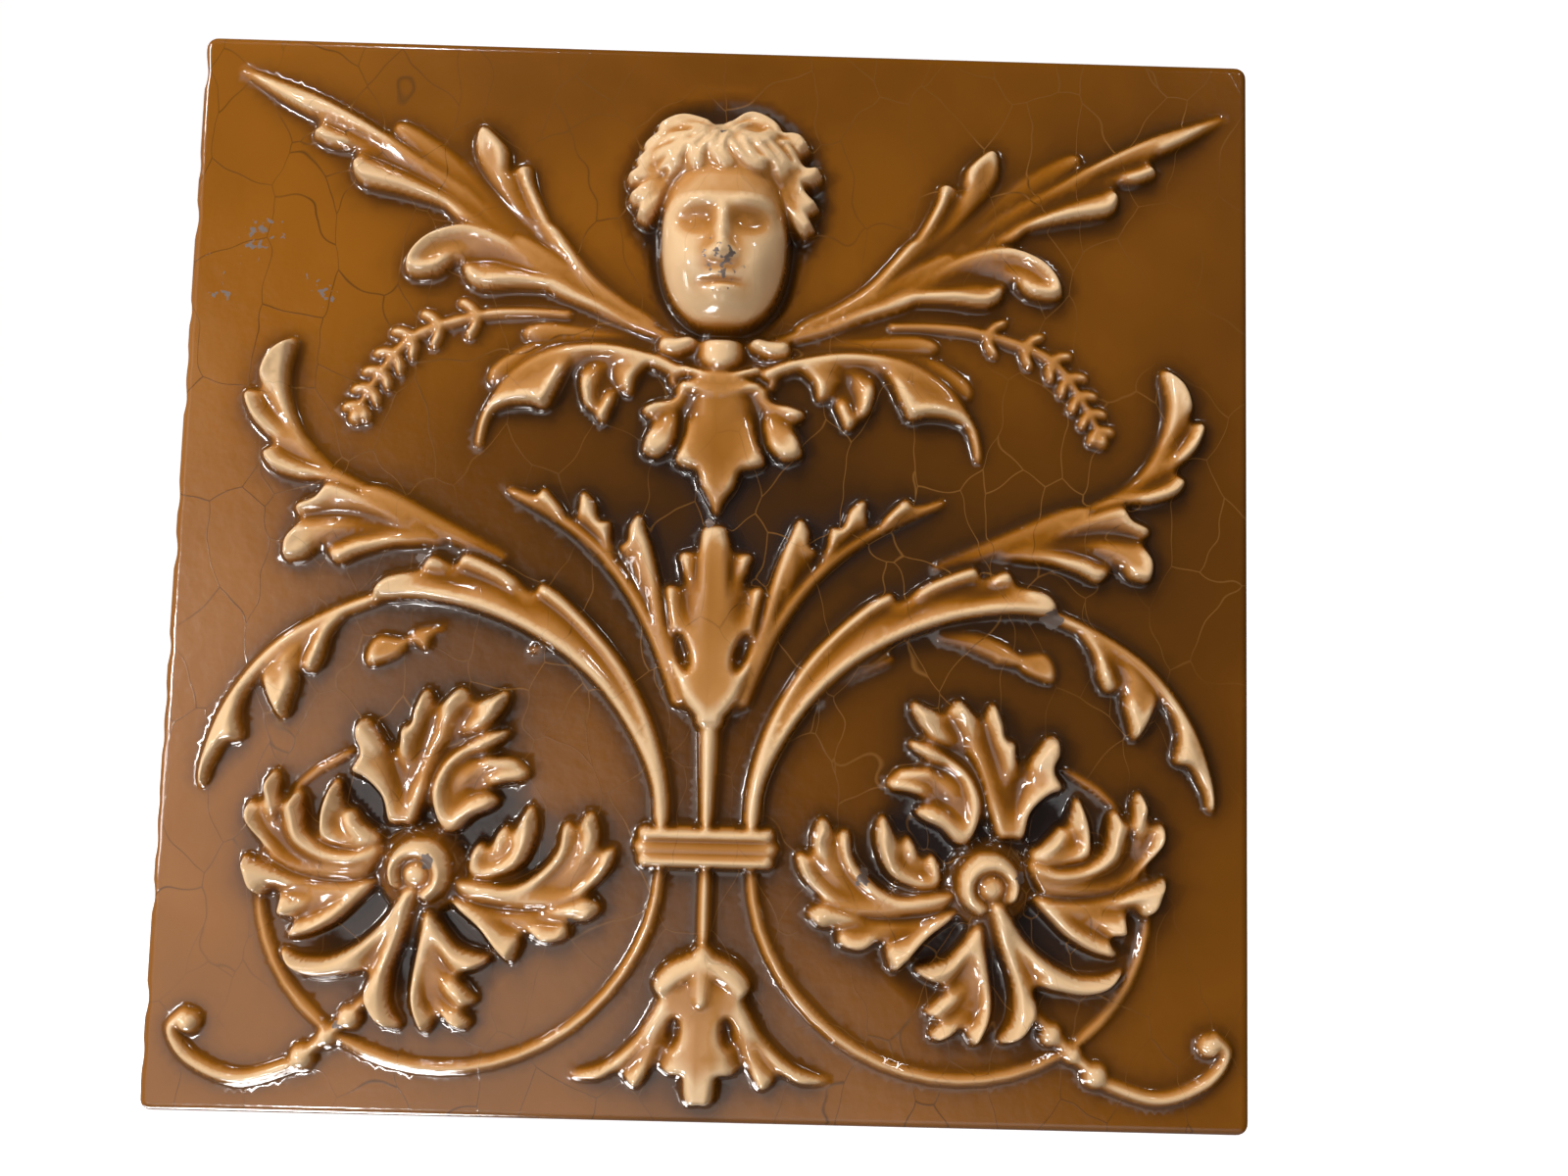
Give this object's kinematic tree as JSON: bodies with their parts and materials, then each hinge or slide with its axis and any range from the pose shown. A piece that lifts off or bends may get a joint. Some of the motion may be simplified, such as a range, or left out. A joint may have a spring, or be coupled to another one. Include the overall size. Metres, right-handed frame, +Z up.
{
  "type": "relief wall tile",
  "caption": "Square press-moulded earthenware wall tile with a raised grotesque of scrolling leaves, rosettes and a small head, under a pooled amber glaze; grooved back for mortar.",
  "frame": {"origin": "centre of the flat back face, which is bedded on the wall", "axes": "+Z up the wall, +Y into the wall, so the glazed front looks to -Y; +X to the right as the front is seen"},
  "size_m": [0.1524, 0.0184, 0.1524],
  "materials": {
    "amber_glaze": "glossy amber lead glaze, dark where it pools and cream where it thins over the ridges, finely crazed"
  },
  "bodies": {
    "root": {"tile": "amber_glaze"}
  },
  "joints": []
}
